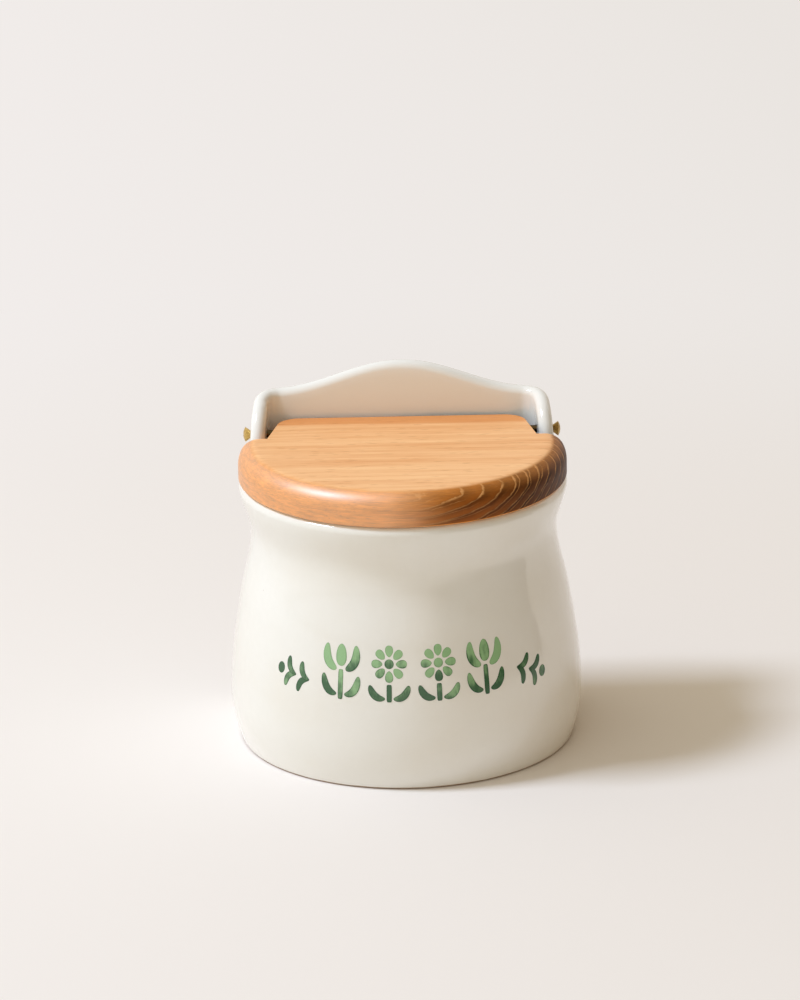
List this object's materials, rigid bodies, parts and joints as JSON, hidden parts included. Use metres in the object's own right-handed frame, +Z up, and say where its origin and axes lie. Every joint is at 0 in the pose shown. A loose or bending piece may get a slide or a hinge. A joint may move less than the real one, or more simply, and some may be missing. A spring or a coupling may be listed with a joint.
{
  "type": "salt box",
  "caption": "Glazed stoneware salt crock with a flat raised back and a wooden lid that hinges between two ears on brass screws.",
  "frame": {"origin": "on the axis of the crock's round front, on the plane of its flat base", "axes": "+Z up, +Y towards the flat back, +X to the right seen from the front"},
  "size_m": [0.1408, 0.1107, 0.1439],
  "materials": {
    "glaze": "gloss",
    "wood": "satin",
    "brass": "polished"
  },
  "bodies": {
    "crock": {"crock": "glaze"},
    "lid": {"lid": "wood", "hinge_screw_left": "brass", "hinge_screw_right": "brass"}
  },
  "joints": [
    {"name": "lid_hinge", "type": "hinge", "parent": "crock", "child": "lid", "pos_m": [0, 0.0249, 0.1176], "axis": [-1, 0, 0], "range_deg": [0, 100]}
  ]
}
